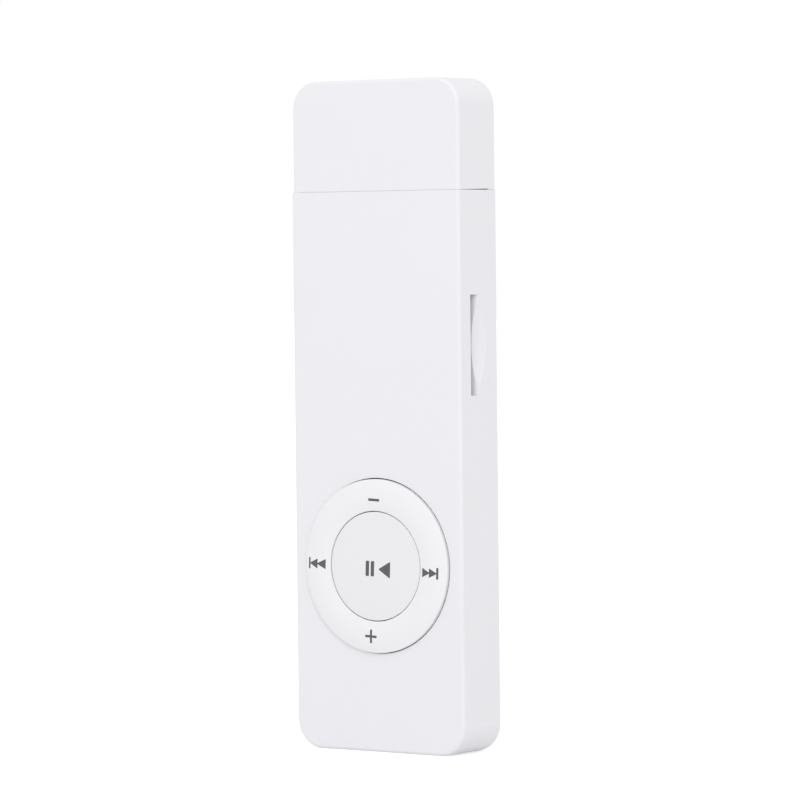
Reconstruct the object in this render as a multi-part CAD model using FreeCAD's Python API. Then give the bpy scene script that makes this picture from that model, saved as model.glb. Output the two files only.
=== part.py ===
import FreeCAD, Part
import math
import os

# Strip-shaped digital audio player with a pull-off cap over a plug, millimetres.
# +X is the card-slot side, -Y the front with the control pad, +Z up towards the cap.
# The origin is the centre of the bottom face, half way through the thickness.

# Outside
LENGTH = 84.0            # bottom face to top of the cap
WIDTH = 25.7
THICK = 8.28
CORNER_R = 3.6           # corners of the front outline
EDGE_R = 0.45            # rounding of the long edges
SHOULDER_Z = 70.1        # top of the case, where the cap begins
SEAM_GAP = 0.1
HALF_W = WIDTH / 2
HALF_T = THICK / 2

# Case walls
SIDE_WALL = 1.2
FRONT_WALL = 1.1
BACK_WALL = 1.0
INNER_FRONT = FRONT_WALL - HALF_T       # inner face of the front wall
INNER_BACK = HALF_T - BACK_WALL         # inner face of the back cover
INNER_HALF_W = HALF_W - SIDE_WALL
LEDGE_Z = 68.8           # the plug collar stands on this ledge
LIP = 0.7                # case lip round the back cover and the collar
COVER_TOP_Z = 67.6
FIT_GAP = 0.05
HOOK_ZS = (15.0, 38.0, 60.0)
HOOK_LENGTH = 4.0
HOOK_FRONT = 1.45        # hooks reach forward to here
HOOK_INSET = 0.1         # from the case's inner wall
HOOK_THICK = 0.75
BARB_OUT = 0.3
BARB_TALL = 0.6
POCKET_CLEAR = 0.1
COVER_CHAMFER = 0.12

# Cap and collar
NECK_TOP_Z = 71.0
NECK_INSET = 0.75
NECK_R = 0.3
CAP_INSET = 0.1
CAP_WALL = 0.9
CAP_MOUTH_INSET = 0.66
CAP_MOUTH_Z = SHOULDER_Z + SEAM_GAP
CAP_STEP_Z = NECK_TOP_Z + 0.3
NECK_CHAMFER = 0.15
RIB_X = 4.0
RIB_WIDTH = 1.0
RIB_START_Z = 72.5

# Plug
PLUG_W = 12.0
PLUG_T = 4.5
PLUG_R = 0.4
PLUG_SHEET = 0.3
PLUG_REAR_Z = 62.5
PLUG_TIP_Z = 82.9
PLUG_CLEAR = 0.03
PLUG_TAB_OUT = 1.1
PLUG_TAB_LENGTH = 2.0
WINDOW_X = 3.1
WINDOW_SIZE = 2.4
WINDOW_Z = 76.4
TONGUE_TIP_Z = 82.4
TONGUE_START_Z = 70.5
TONGUE_CHAMFER = 0.25
INNER_CONTACT_SHORT = 2.0    # from the tongue's tip
OUTER_CONTACT_SHORT = 1.0
CONTACT_XS = (-3.5, -1.0, 1.0, 3.5)
CONTACT_W = 1.0
CONTACT_T = 0.12
CONTACT_TAIL_Z = 60.5

# Control pad
PAD_Z = 23.35
PAD_HOLE_R = 11.0
RING_R = 10.88
RING_INNER_R = 6.93
RING_CROWN = 0.8         # above the front face
RING_RIM = 0.42
RING_INNER_RIM = 0.57
RING_UNDER = -3.2
RING_SKIRT_R = 9.9
RING_SKIRT_END = -2.0
RING_LIP_R = 7.75
RING_LIP_END = -3.0
RING_TAB_R = 11.6
RING_TAB_T = 0.4
RING_TAB_W = 4.0
RING_ROUND = 0.12
BUTTON_R = 6.81
BUTTON_CROWN = 0.62      # above the front face
BUTTON_RIM = 0.5
BUTTON_UNDER = -3.4
BUTTON_SKIRT_R = 6.0
BUTTON_SKIRT_END = -2.3
BUTTON_TAB_R = 7.6
BUTTON_TAB_T = 0.32
BUTTON_TAB_W = 2.4
BUTTON_ROUND = 0.1
POST_R = 0.6
BUTTON_POST_R = 1.0
POST_END = -1.28
SWITCH_AT = 9.0          # side switches from the pad's centre
SWITCH_SIZE = 3.4
SWITCH_H = 1.0
STEM_R = 0.6
STEM_BORE_R = 0.66
STEM_TOP = -1.25
STEM_BOTTOM = -0.6
STEM_BORE_END = -0.25
GIMBAL_FRONT = -1.75
GIMBAL_BACK = -1.55
GIMBAL_R = 6.9
GIMBAL_HOLE_R = 4.4
GIMBAL_EAR_X = 7.7
GIMBAL_EAR_W = 2.4
ROCKER_R = 0.25          # round edges that the pad rocks on
ROCKER_GAP = 0.02
FOOT_W = 1.6
FOOT_END = -2.35
FOOT_AXIS = GIMBAL_FRONT - ROCKER_GAP - ROCKER_R
SEAT_R = 5.6
SEAT_HOLE_R = 4.6
SEAT_TOP = -1.1
SEAT_AXIS = GIMBAL_BACK + ROCKER_GAP + ROCKER_R

# Card slot in the right side and the finger scoop behind it
SLOT_Z = 50.9
SLOT_LENGTH = 12.5
SLOT_FRONT = -1.85
SLOT_BACK = -0.54
SCOOP_DEPTH = 0.75
SCOOP_REACH = 2.0
SCOOP_LENGTH = 9.7
SCOOP_R = 24.0

# Headphone jack in the bottom
JACK_X = -6.0
JACK_BORE_R = 1.8
JACK_NOSE_R = 2.5
JACK_HOLE_R = 2.6
JACK_W = 6.2
JACK_T = 4.8
JACK_MOUTH_Z = 0.1
JACK_BODY_Z = 1.25
JACK_END_Z = 12.3
JACK_SHEET = 0.15
JACK_TAIL = 1.0
JACK_CHAMFER = 0.3

# Circuit board and what it carries
BOARD_FRONT = 0.0
BOARD_T = 0.8
BOARD_BACK = BOARD_FRONT + BOARD_T
BOARD_HALF_W = 11.0
BOARD_BOTTOM_Z = 1.6
BOARD_TOP_Z = 66.9
BOARD_NOTCH_Z = 62.3
SCREW_AT = ((8.5, 6.5), (-8.8, 64.3), (8.8, 64.3))
SCREW_R = 0.64
SCREW_HEAD_R = 1.2
SCREW_HEAD_T = 0.6
SCREW_END = -2.2
SCREW_CROSS = (0.7, 0.13, 0.3)   # half length, half width and depth of the cross recess
BOSS_R = 1.5
BOSS_BORE_R = 0.66
BOSS_BORE_END = -2.4
CARD_W = 11.0
CARD_T = 1.0
CARD_ROOM = 0.65         # each side of the card in its socket
SOCKET_LEFT = -5.0
SOCKET_RIGHT = 11.2
SOCKET_RAIL = 0.75
SOCKET_FLOOR = 0.45
SOCKET_TOP = -1.7
SOCKET_SHEET = 0.15
SOCKET_STOP = 1.1
FINGER_PITCH = 1.1
FINGER_W = 0.5
FINGER_COUNT = 8

# Packages on the front of the board: x, z, size along x, size along z, height
PACKAGES = {
    "controller_chip": (-6.0, 39.6, 7.0, 7.0, 0.9),
    "flash_chip": (5.0, 39.9, 11.0, 7.0, 1.0),
    "amplifier_chip": (4.0, 9.0, 3.0, 3.0, 0.8),
    "regulator_chip": (-8.8, 56.0, 3.0, 1.6, 0.9),
    "clock_crystal": (-8.8, 46.6, 3.2, 2.5, 0.7),
    "power_inductor": (-8.8, 51.5, 3.0, 3.0, 1.2),
}
SMALL_X = 1.0            # small capacitors and resistors
SMALL_Z = 0.5
CAPACITOR_H = 0.5
RESISTOR_H = 0.35

# Battery
CELL_HALF_W = 9.8
CELL_FRONT = 0.9
CELL_BACK = 2.9
CELL_BOTTOM_Z = 15.5
CELL_TOP_Z = 55.5
CELL_ROUND = 0.5
GUARD_HALF_W = 8.0
GUARD_FRONT = 1.3
GUARD_BACK = 2.5
GUARD_TOP_Z = 58.6
TAPE_MARGIN = 2.5
LEAD_X = 2.0
LEAD_R = 0.35
LEAD_Y = 1.9
LEAD_STRAIGHT = 1.3


def vec(x, y, z):
    return FreeCAD.Vector(x, y, z)


def box(x0, x1, y0, y1, z0, z1):
    """Box between two corners."""
    return Part.makeBox(x1 - x0, y1 - y0, z1 - z0, vec(x0, y0, z0))


def round_y(radius, x, z, y0, y1):
    """Cylinder along Y."""
    return Part.makeCylinder(radius, y1 - y0, vec(x, y0, z), vec(0, 1, 0))


def round_z(radius, x, y, z0, z1):
    """Cylinder along Z."""
    return Part.makeCylinder(radius, z1 - z0, vec(x, y, z0), vec(0, 0, 1))


def along(shape, axis, tests=()):
    """Straight edges along one axis whose middle passes every test."""
    found = []
    for edge in shape.Edges:
        size = edge.BoundBox
        lengths = {"x": size.XLength, "y": size.YLength, "z": size.ZLength}
        others = [lengths[key] for key in lengths if key != axis]
        if lengths[axis] > 0.01 and max(others) < 0.001:
            middle = size.Center
            if all(test(middle) for test in tests):
                found.append(edge)
    return found


def slab(half_w, z0, z1, y0, y1, low_r=0.0, high_r=0.0):
    """Plate standing in the XZ plane with rounded lower or upper corners."""
    plate = box(-half_w, half_w, y0, y1, z0, z1)
    for radius, level in ((low_r, z0), (high_r, z1)):
        if radius > 0:
            corners = along(plate, "y", [lambda point: abs(point.z - level) < 0.001])
            plate = plate.makeFillet(radius, corners)
    return plate


def outline_edges(shape, open_z):
    """Edges of the front and back outlines, apart from those on the open end."""
    found = []
    for edge in shape.Edges:
        size = edge.BoundBox
        flat = size.YLength < 0.001
        on_end = size.ZLength < 0.001 and abs(size.ZMin - open_z) < 0.001
        if flat and not on_end:
            found.append(edge)
    return found


def tube_block(half_x, half_y, z0, z1, radius):
    """Upright block with its four upright edges rounded."""
    block = box(-half_x, half_x, -half_y, half_y, z0, z1)
    return block.makeFillet(radius, along(block, "z"))


def pad_revolve(points, arcs):
    """Solid turned round the pad's axis from a (radius, depth) outline.

    arcs maps the index of an outline's side to the middle point of its arc.
    """
    places = [vec(radius, depth, PAD_Z) for radius, depth in points]
    sides = []
    for index, start in enumerate(places):
        end = places[(index + 1) % len(places)]
        if index in arcs:
            radius, depth = arcs[index]
            sides.append(Part.Arc(start, vec(radius, depth, PAD_Z), end).toShape())
        else:
            sides.append(Part.makeLine(start, end))
    face = Part.Face(Part.Wire(sides))
    return face.revolve(vec(0, 0, PAD_Z), vec(0, 1, 0), 360)


def round_rims(shape, radius, rims):
    """Round the circular edges at the given (radius, depth) places."""
    edges = []
    for edge in shape.Edges:
        if not edge.Degenerated and isinstance(edge.Curve, Part.Circle):
            curve = edge.Curve
            for rim_r, rim_y in rims:
                if abs(curve.Radius - rim_r) < 0.001 and abs(curve.Center.y - rim_y) < 0.001:
                    edges.append(edge)
    return shape.makeFillet(radius, edges)


def turned(shape, degrees):
    """Copy turned about the pad's axis."""
    copy = shape.copy()
    copy.rotate(vec(0, 0, PAD_Z), vec(0, 1, 0), degrees)
    return copy


def scoop_cutter():
    """Shallow cylinder that sinks from the side towards the back of the slot."""
    run = math.hypot(SCOOP_DEPTH, SCOOP_REACH)
    floor = vec(SCOOP_DEPTH / run, SCOOP_REACH / run, 0)
    outward = vec(floor.y, -floor.x, 0)
    deepest = vec(HALF_W - SCOOP_DEPTH, SLOT_BACK, SLOT_Z)
    start = deepest + outward * SCOOP_R - floor * SCOOP_REACH
    cutter = Part.makeCylinder(SCOOP_R, 3 * SCOOP_REACH, start, floor)
    half = SCOOP_LENGTH / 2
    room = box(HALF_W - 2, HALF_W + 1, SLOT_BACK - 0.01, HALF_T, SLOT_Z - half, SLOT_Z + half)
    return cutter.common(room)


def front_case():
    """Deep tray: front, sides and bottom in one moulding."""
    case = slab(HALF_W, 0, SHOULDER_Z, -HALF_T, HALF_T, CORNER_R)
    case = case.makeFillet(EDGE_R, outline_edges(case, SHOULDER_Z))
    inner_r = CORNER_R - SIDE_WALL
    case = case.cut(slab(INNER_HALF_W, SIDE_WALL, LEDGE_Z, INNER_FRONT, INNER_BACK, inner_r))
    seat = slab(HALF_W - LIP, LIP, COVER_TOP_Z, INNER_BACK, HALF_T + 1, CORNER_R - LIP)
    case = case.cut(seat)
    case = case.cut(tube_block(HALF_W - LIP, HALF_T - LIP, LEDGE_Z, SHOULDER_Z + 1, NECK_R))
    case = case.cut(round_y(PAD_HOLE_R, 0, PAD_Z, -HALF_T - 1, INNER_FRONT + 0.5))
    half = SLOT_LENGTH / 2
    slot = box(INNER_HALF_W - 0.5, HALF_W + 1, SLOT_FRONT, SLOT_BACK, SLOT_Z - half, SLOT_Z + half)
    case = case.cut(slot).cut(scoop_cutter())
    case = case.cut(round_z(JACK_HOLE_R, JACK_X, 0, -1, SIDE_WALL + 1))
    for x, z in SCREW_AT:
        boss = round_y(BOSS_R, x, z, INNER_FRONT - 0.2, BOARD_FRONT)
        case = case.fuse(boss)
    for x, z in SCREW_AT:
        case = case.cut(round_y(BOSS_BORE_R, x, z, BOSS_BORE_END, BOARD_FRONT + 1))
    for z in HOOK_ZS:
        half = HOOK_LENGTH / 2 + POCKET_CLEAR
        for side in (-1, 1):
            inner = side * (INNER_HALF_W - 0.1)
            outer = side * (INNER_HALF_W + BARB_OUT + POCKET_CLEAR)
            pocket = box(min(inner, outer), max(inner, outer), HOOK_FRONT - POCKET_CLEAR,
                         HOOK_FRONT + BARB_TALL + POCKET_CLEAR, z - half, z + half)
            case = case.cut(pocket)
    return case.removeSplitter()


def back_cover():
    """Flat cover let into the back, with snap hooks along its sides."""
    inset = LIP + FIT_GAP
    cover = slab(HALF_W - inset, inset, COVER_TOP_Z - FIT_GAP, INNER_BACK, HALF_T, CORNER_R - inset)
    rims = [edge for edge in cover.Edges
            if edge.BoundBox.YLength < 0.001 and abs(edge.BoundBox.YMin - HALF_T) < 0.001]
    cover = cover.makeChamfer(COVER_CHAMFER, rims)
    for z in HOOK_ZS:
        half = HOOK_LENGTH / 2
        for side in (-1, 1):
            near = side * (INNER_HALF_W - HOOK_INSET - HOOK_THICK)
            far = side * (INNER_HALF_W - HOOK_INSET)
            arm = box(min(near, far), max(near, far), HOOK_FRONT, INNER_BACK + 0.2, z - half, z + half)
            tip = side * (INNER_HALF_W + BARB_OUT - HOOK_INSET)
            barb = box(min(near, tip), max(near, tip), HOOK_FRONT, HOOK_FRONT + BARB_TALL,
                       z - half, z + half)
            cover = cover.fuse(arm).fuse(barb)
    return cover.removeSplitter()


def cap():
    """Hollow pull-off cap with a thin lip over the neck and ribs that grip the plug."""
    half_w = HALF_W - CAP_INSET
    half_t = HALF_T - CAP_INSET
    shell = slab(half_w, CAP_MOUTH_Z, LENGTH, -half_t, half_t, high_r=CORNER_R - CAP_INSET)
    shell = shell.makeFillet(EDGE_R, outline_edges(shell, CAP_MOUTH_Z))
    hollow = slab(half_w - CAP_WALL, CAP_MOUTH_Z - 1, LENGTH - CAP_WALL,
                  CAP_WALL - half_t, half_t - CAP_WALL, high_r=CORNER_R - CAP_INSET - CAP_WALL)
    shell = shell.cut(hollow)
    mouth = tube_block(HALF_W - CAP_MOUTH_INSET, HALF_T - CAP_MOUTH_INSET,
                       CAP_MOUTH_Z - 1, CAP_STEP_Z, NECK_R)
    shell = shell.cut(mouth)
    rib_in = PLUG_T / 2 + 2 * PLUG_CLEAR
    rib_out = half_t - CAP_WALL + 0.2
    for x in (-RIB_X, RIB_X):
        for side in (-1, 1):
            near, far = sorted((side * rib_in, side * rib_out))
            rib = box(x - RIB_WIDTH / 2, x + RIB_WIDTH / 2, near, far,
                      RIB_START_Z, LENGTH - CAP_WALL / 2)
            shell = shell.fuse(rib)
    return shell.removeSplitter()


def plug_collar():
    """End piece that closes the case round the plug and centres the cap."""
    block = tube_block(HALF_W - NECK_INSET, HALF_T - NECK_INSET, LEDGE_Z, NECK_TOP_Z, NECK_R)
    rims = [edge for edge in block.Edges if abs(edge.BoundBox.ZMin - NECK_TOP_Z) < 0.001]
    block = block.makeChamfer(NECK_CHAMFER, rims)
    hole = tube_block(PLUG_W / 2 + PLUG_CLEAR, PLUG_T / 2 + PLUG_CLEAR,
                      LEDGE_Z - 1, NECK_TOP_Z + 1, PLUG_R)
    return block.cut(hole)


def plug_shell():
    """Folded sheet-metal shell with latch windows and two board tabs."""
    shell = tube_block(PLUG_W / 2, PLUG_T / 2, PLUG_REAR_Z, PLUG_TIP_Z, PLUG_R)
    bore = tube_block(PLUG_W / 2 - PLUG_SHEET, PLUG_T / 2 - PLUG_SHEET,
                      PLUG_REAR_Z - 1, PLUG_TIP_Z + 1, PLUG_R - PLUG_SHEET)
    shell = shell.cut(bore)
    half = WINDOW_SIZE / 2
    for x in (-WINDOW_X, WINDOW_X):
        window = box(x - half, x + half, -PLUG_T, PLUG_T, WINDOW_Z - half, WINDOW_Z + half)
        shell = shell.cut(window)
    tab_z = PLUG_REAR_Z + 1.0
    for side in (-1, 1):
        near, far = sorted((side * (PLUG_W / 2 - PLUG_SHEET / 2), side * (PLUG_W / 2 + PLUG_TAB_OUT)))
        tab = box(near, far, BOARD_FRONT - PLUG_SHEET, BOARD_FRONT, tab_z, tab_z + PLUG_TAB_LENGTH)
        shell = shell.fuse(tab)
    return shell.removeSplitter()


def contact_strips():
    """Four flat contacts, from the board to the front of the tongue."""
    outermost = max(CONTACT_XS)
    half = CONTACT_W / 2
    strips = []
    for x in CONTACT_XS:
        short = OUTER_CONTACT_SHORT if abs(x) == outermost else INNER_CONTACT_SHORT
        strips.append(box(x - half, x + half, BOARD_FRONT - CONTACT_T, BOARD_FRONT,
                          CONTACT_TAIL_Z, TONGUE_TIP_Z - short))
    return strips


def plug_tongue():
    """Moulded insulator: a block in the rear of the shell and a thin tongue."""
    half_x = PLUG_W / 2 - PLUG_SHEET - PLUG_CLEAR
    half_y = PLUG_T / 2 - PLUG_SHEET - PLUG_CLEAR
    block = box(-half_x, half_x, -half_y, half_y, PLUG_REAR_Z, TONGUE_START_Z)
    tongue = box(-half_x, half_x, BOARD_FRONT, half_y, TONGUE_START_Z - 0.5, TONGUE_TIP_Z)
    body = block.fuse(tongue).removeSplitter()
    rims = [edge for edge in body.Edges if abs(edge.BoundBox.ZMin - TONGUE_TIP_Z) < 0.001]
    body = body.makeChamfer(TONGUE_CHAMFER, rims)
    for strip in contact_strips():
        body = body.cut(strip)
    return body


def control_ring():
    """Domed four-way ring with press posts, retaining tabs and two gimbal feet."""
    rim = -HALF_T - RING_RIM
    inner_rim = -HALF_T - RING_INNER_RIM
    crown = -HALF_T - RING_CROWN
    middle = (RING_R + RING_INNER_R) / 2
    ring = pad_revolve([(RING_R, RING_SKIRT_END), (RING_R, rim), (RING_INNER_R, inner_rim),
                        (RING_INNER_R, RING_LIP_END), (RING_LIP_R, RING_LIP_END),
                        (RING_LIP_R, RING_UNDER), (RING_SKIRT_R, RING_UNDER),
                        (RING_SKIRT_R, RING_SKIRT_END)], {1: (middle, crown)})
    ring = round_rims(ring, RING_ROUND, ((RING_R, rim), (RING_INNER_R, inner_rim)))
    tab = box(-RING_TAB_W / 2, RING_TAB_W / 2, RING_SKIRT_END - RING_TAB_T, RING_SKIRT_END,
              PAD_Z + RING_SKIRT_R + 0.3, PAD_Z + RING_TAB_R)
    post = round_y(POST_R, 0, PAD_Z + SWITCH_AT, RING_UNDER - 0.2, POST_END)
    for quarter in range(4):
        ring = ring.fuse(turned(tab, 45 + 90 * quarter)).fuse(turned(post, 90 * quarter))
    for side in (-1, 1):
        near, far = sorted((side * (RING_INNER_R + 0.15), side * (RING_LIP_R - 0.1)))
        foot = box(near, far, RING_LIP_END - 0.3, FOOT_END, PAD_Z - FOOT_W / 2, PAD_Z + FOOT_W / 2)
        edge = box(near, far, FOOT_END - 0.1, FOOT_AXIS, PAD_Z - ROCKER_R, PAD_Z + ROCKER_R)
        nose = Part.makeCylinder(ROCKER_R, far - near, vec(near, FOOT_AXIS, PAD_Z), vec(1, 0, 0))
        ring = ring.fuse(foot).fuse(edge).fuse(nose)
    return ring.removeSplitter()


def play_button():
    """Centre button with a skirt, four retaining tabs and a press post."""
    rim = -HALF_T - BUTTON_RIM
    crown = -HALF_T - BUTTON_CROWN
    halfway = BUTTON_R * math.sqrt(0.5)
    button = pad_revolve([(0, crown), (BUTTON_R, rim), (BUTTON_R, BUTTON_SKIRT_END),
                          (BUTTON_SKIRT_R, BUTTON_SKIRT_END), (BUTTON_SKIRT_R, BUTTON_UNDER),
                          (0, BUTTON_UNDER)], {0: (halfway, (crown + rim) / 2)})
    button = round_rims(button, BUTTON_ROUND, ((BUTTON_R, rim),))
    tab = box(-BUTTON_TAB_W / 2, BUTTON_TAB_W / 2, BUTTON_SKIRT_END - BUTTON_TAB_T,
              BUTTON_SKIRT_END, PAD_Z + BUTTON_SKIRT_R + 0.2, PAD_Z + BUTTON_TAB_R)
    for quarter in range(4):
        button = button.fuse(turned(tab, 45 + 90 * quarter))
    button = button.fuse(round_y(BUTTON_POST_R, 0, PAD_Z, BUTTON_UNDER - 0.2, POST_END))
    return button.removeSplitter()


def pad_gimbal_plate():
    """Thin plate that lets the ring rock both ways; its ears carry the ring's feet."""
    plate = round_y(GIMBAL_R, 0, PAD_Z, GIMBAL_FRONT, GIMBAL_BACK)
    plate = plate.fuse(box(-GIMBAL_EAR_X, GIMBAL_EAR_X, GIMBAL_FRONT, GIMBAL_BACK,
                           PAD_Z - GIMBAL_EAR_W / 2, PAD_Z + GIMBAL_EAR_W / 2))
    plate = plate.cut(round_y(GIMBAL_HOLE_R, 0, PAD_Z, GIMBAL_FRONT - 1, GIMBAL_BACK + 1))
    return plate.removeSplitter()


def pad_pivot_seat():
    """Moulded ring on the board with two round edges that the gimbal plate rocks on."""
    seat = round_y(SEAT_R, 0, PAD_Z, SEAT_TOP, BOARD_FRONT)
    seat = seat.cut(round_y(SEAT_HOLE_R, 0, PAD_Z, SEAT_TOP - 1, BOARD_FRONT + 1))
    length = SEAT_R - SEAT_HOLE_R
    for z0 in (PAD_Z - SEAT_R, PAD_Z + SEAT_HOLE_R):
        z0 += 0.05
        z1 = z0 + length - 0.1
        seat = seat.fuse(box(-ROCKER_R, ROCKER_R, SEAT_AXIS, SEAT_TOP + 0.1, z0, z1))
        seat = seat.fuse(round_z(ROCKER_R, 0, SEAT_AXIS, z0, z1))
    return seat.removeSplitter()


def switch_places():
    """Name and (x, z) centre of each of the pad's switches."""
    return {"play": (0.0, PAD_Z), "up": (0.0, PAD_Z + SWITCH_AT), "down": (0.0, PAD_Z - SWITCH_AT),
            "left": (-SWITCH_AT, PAD_Z), "right": (SWITCH_AT, PAD_Z)}


def switch_body(x, z):
    """Small square push switch with an open bore for its stem."""
    half = SWITCH_SIZE / 2
    body = box(x - half, x + half, BOARD_FRONT - SWITCH_H, BOARD_FRONT, z - half, z + half)
    body = body.makeChamfer(0.2, along(body, "y"))
    return body.cut(round_y(STEM_BORE_R, x, z, -SWITCH_H - 1, STEM_BORE_END))


def circuit_board():
    """Board with notches for the plug and the headphone jack."""
    board = slab(BOARD_HALF_W, BOARD_BOTTOM_Z, BOARD_TOP_Z, BOARD_FRONT, BOARD_BACK, 2.2, 0.5)
    plug_half = PLUG_W / 2 + 0.2
    board = board.cut(box(-plug_half, plug_half, -1, 2, BOARD_NOTCH_Z, BOARD_TOP_Z + 1))
    jack_half = JACK_W / 2 + 0.3
    board = board.cut(box(JACK_X - jack_half, JACK_X + jack_half, -1, 2, 0, JACK_END_Z + 2.3))
    for x, z in SCREW_AT:
        board = board.cut(round_y(BOSS_BORE_R + 0.15, x, z, -1, 2))
    return board


def board_screws():
    """Three small cross-head screws that hold the board to the case."""
    screws = []
    for x, z in SCREW_AT:
        head_top = BOARD_BACK + SCREW_HEAD_T
        screw = round_y(SCREW_HEAD_R, x, z, BOARD_BACK, head_top)
        screw = round_y(SCREW_R, x, z, SCREW_END, BOARD_BACK + 0.1).fuse(screw)
        long, short, depth = SCREW_CROSS
        for half_x, half_z in ((long, short), (short, long)):
            screw = screw.cut(box(x - half_x, x + half_x, head_top - depth, head_top + 1,
                                  z - half_z, z + half_z))
        screws.append(screw)
    return Part.makeCompound(screws)


def headphone_jack_body():
    """Moulded jack with a round nose in the case's bottom hole."""
    body = box(JACK_X - JACK_W / 2, JACK_X + JACK_W / 2, -JACK_T / 2, JACK_T / 2,
               JACK_BODY_Z, JACK_END_Z)
    body = body.makeChamfer(JACK_CHAMFER, along(body, "z"))
    nose = round_z(JACK_NOSE_R, JACK_X, 0, JACK_MOUTH_Z, JACK_BODY_Z + 0.5)
    return body.fuse(nose).cut(round_z(JACK_BORE_R, JACK_X, 0, -1, JACK_END_Z + 1)).removeSplitter()


def jack_contact(blade, tail_left, tail_right, tail_z):
    """Leaf contact: an upright blade with a tail lying on the board."""
    tail = box(tail_left, tail_right, BOARD_FRONT - JACK_SHEET, BOARD_FRONT, tail_z, tail_z + 1.0)
    return blade.fuse(tail).removeSplitter()


def headphone_jack_contacts():
    """Three leaf contacts: one on each side of the jack and one behind it."""
    left = JACK_X - JACK_W / 2
    right = JACK_X + JACK_W / 2
    tip = JACK_X + JACK_BORE_R + 0.1
    ground = box(left - JACK_SHEET, left, -0.8, 0.8, 3.0, 7.0)
    ring = box(right, right + JACK_SHEET, -0.8, 0.8, 6.0, 11.0)
    end = box(tip, tip + JACK_SHEET, -1.0, 1.0, JACK_END_Z, JACK_END_Z + 1.8)
    return Part.makeCompound([
        jack_contact(ground, left - JACK_TAIL, left - JACK_SHEET, 4.0),
        jack_contact(ring, right + JACK_SHEET, right + JACK_TAIL, 7.0),
        jack_contact(end, tip + JACK_SHEET, right + JACK_TAIL, JACK_END_Z + 0.6)])


def socket_half():
    """Half of the card socket's inner width."""
    return CARD_W / 2 + CARD_ROOM


def card_socket_base():
    """Moulded floor, rails and end stop of the memory-card socket."""
    inner = socket_half()
    outer = inner + SOCKET_RAIL
    floor_y = BOARD_FRONT - SOCKET_FLOOR
    base = box(SOCKET_LEFT, SOCKET_RIGHT, floor_y, BOARD_FRONT, SLOT_Z - outer, SLOT_Z + outer)
    for z0, z1 in ((SLOT_Z - outer, SLOT_Z - inner), (SLOT_Z + inner, SLOT_Z + outer)):
        base = base.fuse(box(SOCKET_LEFT, SOCKET_RIGHT, SOCKET_TOP, floor_y, z0, z1))
    stop = box(SOCKET_LEFT, SOCKET_LEFT + SOCKET_STOP, SOCKET_TOP, floor_y, SLOT_Z - outer, SLOT_Z + outer)
    base = base.fuse(stop).removeSplitter()
    for strip in socket_contact_strips():
        base = base.cut(strip)
    return base


def card_socket_shell():
    """Bent sheet cover over the memory-card socket."""
    outer = socket_half() + SOCKET_RAIL
    shell = box(SOCKET_LEFT, SOCKET_RIGHT, SOCKET_TOP - SOCKET_SHEET, SOCKET_TOP,
                SLOT_Z - outer, SLOT_Z + outer)
    for z0, z1 in ((SLOT_Z - outer - SOCKET_SHEET, SLOT_Z - outer),
                   (SLOT_Z + outer, SLOT_Z + outer + SOCKET_SHEET)):
        shell = shell.fuse(box(SOCKET_LEFT, SOCKET_RIGHT, SOCKET_TOP - SOCKET_SHEET, BOARD_FRONT, z0, z1))
    shell = shell.removeSplitter()
    for z in (SLOT_Z - 3.5, SLOT_Z + 3.5):
        shell = shell.cut(box(2.0, 6.0, SOCKET_TOP - 1, SOCKET_TOP + 0.01, z - 0.8, z + 0.8))
    return shell


def socket_contact_strips():
    """Spring contacts of the card socket, with tails on the board."""
    floor_y = BOARD_FRONT - SOCKET_FLOOR
    start = SOCKET_LEFT + 0.3
    half = FINGER_W / 2
    strips = []
    for index in range(FINGER_COUNT):
        z = SLOT_Z + (index - (FINGER_COUNT - 1) / 2) * FINGER_PITCH
        finger = box(start, start + 5.7, floor_y, floor_y + SOCKET_SHEET, z - half, z + half)
        drop = box(start, start + SOCKET_SHEET, floor_y, BOARD_FRONT, z - half, z + half)
        tail = box(SOCKET_LEFT - 1.0, start + SOCKET_SHEET, BOARD_FRONT - SOCKET_SHEET, BOARD_FRONT,
                   z - half, z + half)
        strips.append(finger.fuse(drop).fuse(tail).removeSplitter())
    return strips


def chip(x, z, size_x, size_z, height):
    """Flat package on the front of the board."""
    body = box(x - size_x / 2, x + size_x / 2, BOARD_FRONT - height, BOARD_FRONT,
               z - size_z / 2, z + size_z / 2)
    return body.makeChamfer(0.12, along(body, "y"))


def chip_capacitors():
    """Row of small capacitors below the plug and a block of them by the pad."""
    row = [(-9.0 + 2.0 * index, 59.3) for index in range(10)]
    block = [(x, z) for x in (6.0, 8.0) for z in (34.4, 35.2)]
    return Part.makeCompound([chip(x, z, SMALL_X, SMALL_Z, CAPACITOR_H) for x, z in row + block])


def chip_resistors():
    """Small resistors on the lower right of the board."""
    places = [(x, z) for x in (0.2, 2.2, 4.2) for z in (3.0, 4.2, 5.4)]
    return Part.makeCompound([chip(x, z, SMALL_X, SMALL_Z, RESISTOR_H) for x, z in places])


def battery_cell():
    """Flat pouch cell behind the board."""
    cell = box(-CELL_HALF_W, CELL_HALF_W, CELL_FRONT, CELL_BACK, CELL_BOTTOM_Z, CELL_TOP_Z)
    return cell.makeFillet(CELL_ROUND, along(cell, "z"))


def battery_guard_board():
    """Narrow protection board on the cell's upper edge."""
    return box(-GUARD_HALF_W, GUARD_HALF_W, GUARD_FRONT, GUARD_BACK, CELL_TOP_Z, GUARD_TOP_Z)


def battery_tape():
    """Double-sided tape between the cell and the board."""
    half_w = CELL_HALF_W - TAPE_MARGIN
    return box(-half_w, half_w, BOARD_BACK, CELL_FRONT,
               CELL_BOTTOM_Z + TAPE_MARGIN, CELL_TOP_Z - TAPE_MARGIN)


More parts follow.
